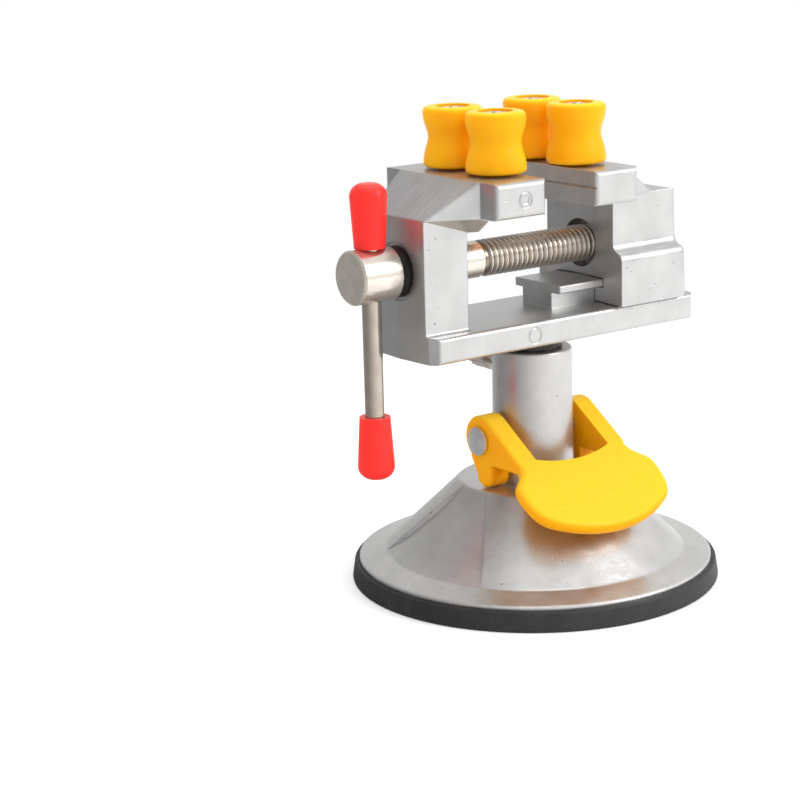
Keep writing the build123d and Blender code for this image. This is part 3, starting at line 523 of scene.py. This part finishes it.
@dataclass(frozen=True)
class MouldedPlastic(Finish):
    """Glossy moulded plastic that light soaks into, so that its shaded sides keep a warm glow."""

    name: str = "yellow_plastic"
    colour: Colour = (1.0, 0.475, 0.007)
    roughness: float = 0.28
    gloss: float = 0.09
    glow: float = 0.4
    glow_reach: Colour = (1.0, 0.3, 0.08)
    glow_scale: float = 2.0 * MM
    cloud_size: float = 5 * MM
    cloud_shade: float = 0.92
    cloud_gloss: Span = (-0.03, 0.07)
    ripple_size: float = 1.6 * MM
    ripple_depth: float = 0.005 * MM
    edge_radius: float = 0.3 * MM
    # Painted highlight: the lighter, yellower colour that faces turned upwards take, as if lit from
    # above.
    lit_top_colour: Colour = (1.0, 0.62, 0.02)
    lit_top_cosines: Span = (0.45, 0.95)

    def dress(self, graph: Graph, shader: bpy.types.Node) -> None:
        """Add the glow, faint clouding, upper sides painted lighter as if lit from above, a ripple
        and softened edges.

        Args:
            graph: The material's graph.
            shader: The material's shader node.
        """
        shader.inputs["Specular IOR Level"].default_value = self.gloss
        shader.inputs["Subsurface Weight"].default_value = self.glow
        shader.inputs["Subsurface Radius"].default_value = self.glow_reach
        shader.inputs["Subsurface Scale"].default_value = self.glow_scale
        where = graph.place()
        cloud = graph.noise(where, self.cloud_size, detail=3.0)
        red, green, blue = self.colour
        darker = (red, self.cloud_shade * green, blue)
        tone = graph.blend(graph.spread(cloud, *CLOUD_SPAN), self.colour, darker)
        # Painted highlight: faces turned upwards are blended towards a lighter colour.
        lit_top_share = graph.spread(graph.facing(UP), *self.lit_top_cosines)
        graph.put(shader, "Base Color", graph.blend(lit_top_share, tone, self.lit_top_colour))
        glosses = tuple(self.roughness + part for part in self.cloud_gloss)
        graph.put(shader, "Roughness", graph.spread(cloud, *CLOUD_SPAN, *glosses))
        ripple = graph.noise(where, self.ripple_size, detail=1.0)
        rounded = graph.soft_edges(self.edge_radius)
        rippled = graph.bump(ripple, self.ripple_depth, rounded)
        graph.put(shader, "Normal", self.relief(graph, rippled))

    def relief(self, graph: Graph, under: bpy.types.NodeSocket) -> bpy.types.NodeSocket:
        """Return the normal unchanged; a gripping surface adds its ridges here."""
        return under


@dataclass(frozen=True)
class GripPlastic(MouldedPlastic):
    """The lever's plastic, with faint worn ridges across the paddle's top."""

    name: str = "lever_plastic"
    colour: Colour = (1.0, 0.43, 0.004)
    # Painted highlight on the paddle's top and other upward faces.
    lit_top_colour: Colour = (1.0, 0.57, 0.026)
    lit_top_cosines: Span = (0.15, 0.75)
    ridge_pitch: float = 1.9 * MM
    ridge_depth: float = 0.05 * MM
    ridge_wander: float = 4.0
    crest_span: Span = (0.72, 1.0)
    wander_stretch: Triple = (70.0, 300.0, 300.0)
    wear_stretch: Triple = (60.0, 500.0, 500.0)
    wear_span: Span = (0.42, 0.60)
    tilt_degrees: float = 36.0
    top_cosines: Span = (0.985, 0.999)

    def relief(self, graph: Graph, under: bpy.types.NodeSocket) -> bpy.types.NodeSocket:
        """Add the ridges where the surface faces as the paddle's top does.

        Args:
            graph: The material's graph.
            under: The normal that the ridges are added to.

        Returns:
            The ridged normal's socket.
        """
        tilt = math.radians(self.tilt_degrees)
        paddle_top = (0.0, -math.sin(tilt), math.cos(tilt))
        top = graph.spread(graph.facing(paddle_top), *self.top_cosines)
        apart = graph.parts(graph.place(turn=(tilt, 0.0, 0.0)))
        along = graph.times(apart["Y"], math.tau / self.ridge_pitch)
        wander = graph.noise(graph.place(self.wander_stretch), 1.0)
        wave = graph.math("ADD", along, graph.times(wander, self.ridge_wander))
        crest = graph.spread(graph.math("SINE", wave), *self.crest_span)
        wear = graph.noise(graph.place(self.wear_stretch), 1.0)
        left = graph.spread(wear, *self.wear_span)
        height = graph.times(graph.times(crest, left), top)
        return graph.bump(height, self.ridge_depth, under)


@dataclass(frozen=True)
class MouldedRubber(Finish):
    """Charcoal moulded rubber with a dusty bloom."""

    name: str = "rubber"
    colour: Colour = (0.014, 0.014, 0.015)
    roughness: float = 0.52
    bloom: Colour = (0.045, 0.045, 0.046)
    bloom_size: float = 4 * MM
    bloom_span: Span = (0.45, 0.8)
    bloom_amount: float = 0.6
    bloom_gloss: Span = (-0.05, 0.12)
    grain_size: float = 0.3 * MM
    grain_depth: float = 0.01 * MM

    def dress(self, graph: Graph, shader: bpy.types.Node) -> None:
        """Add the bloom and the grain.

        Args:
            graph: The material's graph.
            shader: The material's shader node.
        """
        where = graph.place()
        cloud = graph.noise(where, self.bloom_size, detail=4.0, rough=0.65)
        bloomed = graph.spread(cloud, *self.bloom_span, 0.0, self.bloom_amount)
        graph.put(shader, "Base Color", graph.blend(bloomed, self.colour, self.bloom))
        glosses = tuple(self.roughness + part for part in self.bloom_gloss)
        graph.put(shader, "Roughness", graph.spread(cloud, *CLOUD_SPAN, *glosses))
        grain = graph.noise(where, self.grain_size)
        graph.put(shader, "Normal", graph.bump(grain, self.grain_depth))


class Palette(Enum):
    """The finishes of this vise."""

    CASTING = CastAlloy()
    DOME_CASTING = CastAlloy(
        name="dome_alloy",
        colour=(0.61, 0.605, 0.595),
        roughness=0.33,
        swell_depth=0.045 * MM,
        belt_depth=0.0,
        belt_tone=0.0,
        edge_radius=0.9 * MM,
    )
    PLATED = TurnedSteel()
    ROD = TurnedSteel(
        name="rod_steel",
        colour=(0.50, 0.445, 0.375),
        roughness=0.11,
        grain=Grain.ALONG_Z,
        mark_depth=0.012 * MM,
    )
    SCREW = ThreadedSteel()
    ZINC = TurnedSteel(
        name="zinc_steel",
        colour=(0.84, 0.85, 0.86),
        roughness=0.20,
        stain_tone=0.85,
    )
    # Near-black steel: the spigot's collar and the thrust washer are real pieces, and their
    # near-black also stands in for the shade in the gaps where they sit.
    DARK_AND_SHADE = TurnedSteel(
        name="dark_steel",
        colour=(0.06, 0.055, 0.05),
        roughness=0.32,
        stain_tone=0.5,
    )
    YELLOW = MouldedPlastic()
    LEVER = GripPlastic()
    RED = MouldedPlastic(
        name="red_vinyl",
        colour=(1.0, 0.034, 0.026),
        roughness=0.30,
        gloss=0.22,
        # Painted highlight on the caps' upward faces.
        lit_top_colour=(1.0, 0.06, 0.045),
        glow_reach=(1.0, 0.08, 0.05),
    )
    RUBBER = MouldedRubber()


@dataclass
class Assembly:
    """A group of pieces that are dressed together."""

    nodes: dict[str, bpy.types.Object]
    made: list[str] = field(default_factory=list)
    smooth_degrees: float = 32.0

    def dress(self, finish: Palette, *names: str) -> None:
        """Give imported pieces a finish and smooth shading.

        Args:
            finish: Which finish they take.
            names: The pieces' names.
        """
        for name in names:
            piece = self.nodes[name]
            piece.data.materials.clear()
            piece.data.materials.append(finish.value.material())
            self.smooth(piece)
            self.made.append(name)

    def smooth(self, piece: bpy.types.Object) -> None:
        """Shade a piece smoothly, with sharp edges kept.

        Args:
            piece: The piece.
        """
        mesh = piece.data
        mesh.polygons.foreach_set("use_smooth", [True] * len(mesh.polygons))
        mesh.set_sharp_from_angle(angle=math.radians(self.smooth_degrees))
        mesh.update()

    def report(self) -> None:
        """Log each piece that this assembly dressed."""
        for name in self.made:
            LOG.info("%s: %s", type(self).__name__, name)


class SuctionBase(Assembly):
    """The rubber cup and the cast dome over it."""

    def build(self) -> None:
        """Dress the base's pieces."""
        self.dress(Palette.RUBBER, "suction_cup")
        self.dress(Palette.DOME_CASTING, "base_dome")


class Column(Assembly):
    """The post with its stud and the lever's axle."""

    def build(self) -> None:
        """Dress the column's pieces."""
        self.dress(Palette.CASTING, "post")
        self.dress(Palette.ZINC, "plunger_stud", "lever_axle")


class SuctionLever(Assembly):
    """The forked lever."""

    def build(self) -> None:
        """Dress the lever."""
        self.dress(Palette.LEVER, "suction_lever")


class LockScrew(Assembly):
    """The knurled thumbscrew behind the post."""

    def build(self) -> None:
        """Dress the thumbscrew."""
        self.dress(Palette.PLATED, "lock_screw")


class ViseHead(Assembly):
    """The main casting with what is fixed to it."""

    def build(self) -> None:
        """Dress the head's pieces."""
        self.dress(Palette.CASTING, "vise_body")
        # Near-black: partly the steel's own colour, partly painted shade in the gaps under the bed
        # and behind the screw head.
        self.dress(Palette.DARK_AND_SHADE, "swivel_spigot", "thrust_washer")
        self.dress(Palette.ZINC, "retaining_pin", "peg_screw_fixed_front", "peg_screw_fixed_rear")


class LeadScrew(Assembly):
    """The lead screw."""

    def build(self) -> None:
        """Dress the screw."""
        self.dress(Palette.SCREW, "lead_screw")


class Handle(Assembly):
    """The sliding handle and its caps."""

    def build(self) -> None:
        """Dress the handle's pieces."""
        self.dress(Palette.ROD, "handle_rod")
        self.dress(Palette.RED, "handle_cap_upper", "handle_cap_lower")


class SlidingJaw(Assembly):
    """The sliding jaw with its nut and screws."""

    def build(self) -> None:
        """Dress the sliding jaw's pieces."""
        self.dress(Palette.CASTING, "moving_jaw")
        self.dress(Palette.ZINC, "jaw_nut", "peg_screw_moving_front", "peg_screw_moving_rear")


class Pegs(Assembly):
    """The four grip pegs."""

    def build(self) -> None:
        """Dress the pegs."""
        self.dress(Palette.YELLOW, "peg_fixed_front", "peg_fixed_rear")
        self.dress(Palette.YELLOW, "peg_moving_front", "peg_moving_rear")


@dataclass(frozen=True)
class Lamp:
    """A square soft lamp: its place and side in metres, and its power in watts."""

    name: str
    place: Triple
    size: float
    watts: float


@dataclass
class Studio:
    """Floor, lamps, soft surroundings and the camera."""

    azimuth: float = 35.285
    pitch: float = 14.021
    roll: float = -1.606
    distance: float = 0.41974
    focal_mm: float = 96.56
    sensor_mm: float = 36.0
    nearest: float = 0.01
    target: Triple = (-0.03324, 0.0, 0.042352)
    lamp_aim: Triple = (0.0, 0.0, 0.045)
    lamps: tuple[Lamp, ...] = (
        Lamp("key", (0.42, -0.62, 0.50), 0.40, 3.3),
        Lamp("top", (0.05, 0.05, 0.90), 0.50, 1.5),
    )
    floor_radius: float = 1.2
    floor_sides: int = 48
    floor_fade: Span = (0.10, 0.34)
    floor_tone: Colour = (0.86, 0.86, 0.86)
    floor_lift: float = 0.22
    bright_side: Triple = (0.816, -0.578, 0.0)
    side_levels: tuple[float, ...] = (0.24, 0.54, 0.82, 0.94, 1.08)
    ambient: float = 0.97

    def camera(self) -> None:
        """Place the camera where the photograph was taken from."""
        turn, rise, roll = (math.radians(angle) for angle in (self.azimuth, self.pitch, self.roll))
        level = math.cos(rise)
        back = Vector((-math.sin(turn) * level, -math.cos(turn) * level, math.sin(rise)))
        right = Vector((math.cos(turn), -math.sin(turn), 0.0))
        up = back.cross(right)
        rolled_right = right * math.cos(roll) + up * math.sin(roll)
        rolled_up = up * math.cos(roll) - right * math.sin(roll)
        place = Matrix((rolled_right, rolled_up, back)).transposed().to_4x4()
        place.translation = Vector(self.target) + back * self.distance
        data = bpy.data.cameras.new("photo_camera")
        data.lens = self.focal_mm
        data.sensor_width = self.sensor_mm
        data.clip_start = self.nearest
        made = bpy.data.objects.new("photo_camera", data)
        made.matrix_world = place
        bpy.context.scene.collection.objects.link(made)
        bpy.context.scene.camera = made

    def light(self, lamp: Lamp) -> None:
        """Hang a lamp that faces the vise.

        Args:
            lamp: The lamp.
        """
        data = bpy.data.lights.new(lamp.name, "AREA")
        data.size = lamp.size
        data.energy = lamp.watts
        made = bpy.data.objects.new(lamp.name, data)
        made.location = lamp.place
        beam = Vector(self.lamp_aim) - Vector(lamp.place)
        made.rotation_euler = beam.to_track_quat("-Z", "Y").to_euler()
        bpy.context.scene.collection.objects.link(made)

    def side_level(self, graph: Graph, where: bpy.types.NodeSocket) -> bpy.types.NodeSocket:
        """Add the level of the surroundings, dim on one side and bright on the other.

        Args:
            graph: The graph that receives the nodes.
            where: A direction, or a place on the floor.

        Returns:
            The level's socket.
        """
        unit = graph.node("ShaderNodeVectorMath", operation="NORMALIZE")
        graph.put(unit, 0, where)
        along = graph.cosine(unit.outputs[0], self.bright_side)
        ramp = graph.node("ShaderNodeValToRGB")
        graph.put(ramp, 0, graph.spread(along, -1.0, 1.0))
        ramp.color_ramp.interpolation = "B_SPLINE"
        stops = ramp.color_ramp.elements
        steps = len(self.side_levels) - 1
        for index in range(1, steps):
            stops.new(index / steps)
        for stop, level in zip(stops, self.side_levels):
            stop.color = (level, level, level, 1.0)
        return ramp.outputs[0]

    def surroundings(self) -> None:
        """Make the world white where it is seen and a soft gradient where it is mirrored."""
        world = bpy.data.worlds.new("studio_world")
        bpy.context.scene.world = world
        graph = Graph(world)
        rays = graph.node("ShaderNodeLightPath").outputs
        mirrored = graph.math("MAXIMUM", rays["Is Glossy Ray"], rays["Is Transmission Ray"])
        level = self.side_level(graph, graph.node("ShaderNodeTexCoord").outputs["Generated"])
        ambient = graph.blend(mirrored, (self.ambient,) * 3, level)
        shown = graph.blend(rays["Is Camera Ray"], ambient, WHITE)
        sky = graph.node("ShaderNodeBackground")
        graph.put(sky, "Color", shown)
        graph.put(sky, "Strength", 1.0)
        graph.put(graph.node("ShaderNodeOutputWorld"), "Surface", sky.outputs[0])
        world.cycles.sampling_method = "NONE"

    def floor(self) -> None:
        """Lay a pale round floor that keeps the object's shadow and turns white further out."""
        mesh = bpy.data.meshes.new("floor")
        corners = range(self.floor_sides)
        turns = (math.tau * corner / self.floor_sides for corner in corners)
        rim = [
            (self.floor_radius * math.cos(turn), self.floor_radius * math.sin(turn), 0.0)
            for turn in turns
        ]
        mesh.from_pydata(rim, [], [tuple(corners)])
        made = bpy.data.objects.new("floor", mesh)
        bpy.context.scene.collection.objects.link(made)
        material = bpy.data.materials.new("floor_paper")
        graph = Graph(material)
        where = graph.node("ShaderNodeTexCoord").outputs["Object"]
        rays = graph.node("ShaderNodeLightPath").outputs
        away = graph.node("ShaderNodeVectorMath", operation="LENGTH")
        graph.put(away, 0, where)
        fade = graph.spread(away.outputs["Value"], *self.floor_fade)
        dimmed = self.side_level(graph, where)
        paper = graph.node("ShaderNodeBsdfDiffuse")
        tone = graph.blend(rays["Is Glossy Ray"], self.floor_tone, dimmed)
        graph.put(paper, "Color", tone)
        seen = rays["Is Camera Ray"]
        lift = graph.node("ShaderNodeEmission")
        graph.put(lift, "Strength", graph.times(seen, self.floor_lift))
        near = graph.node("ShaderNodeAddShader")
        graph.put(near, 0, paper.outputs[0])
        graph.put(near, 1, lift.outputs[0])
        white = graph.node("ShaderNodeEmission")
        graph.put(white, "Strength", 1.0)
        both = graph.node("ShaderNodeMixShader")
        graph.put(both, 0, graph.times(seen, fade))
        graph.put(both, 1, near.outputs[0])
        graph.put(both, 2, white.outputs[0])
        graph.put(graph.node("ShaderNodeOutputMaterial"), "Surface", both.outputs[0])
        mesh.materials.append(material)

    def build(self) -> None:
        """Set up the whole studio."""
        bpy.context.scene.view_settings.view_transform = "Standard"
        self.surroundings()
        self.floor()
        self.camera()
        for lamp in self.lamps:
            self.light(lamp)


def main() -> None:
    """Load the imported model, dress every piece and set up the studio."""
    logging.basicConfig(level=logging.INFO, format="%(message)s")
    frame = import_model()
    lower = (SuctionBase, Column, SuctionLever, LockScrew)
    upper = (ViseHead, LeadScrew, Handle, SlidingJaw, Pegs)
    for kind in lower + upper:
        group = kind(frame["nodes"])
        group.build()
        group.report()
    Studio().build()


if __name__ == "__main__":
    main()
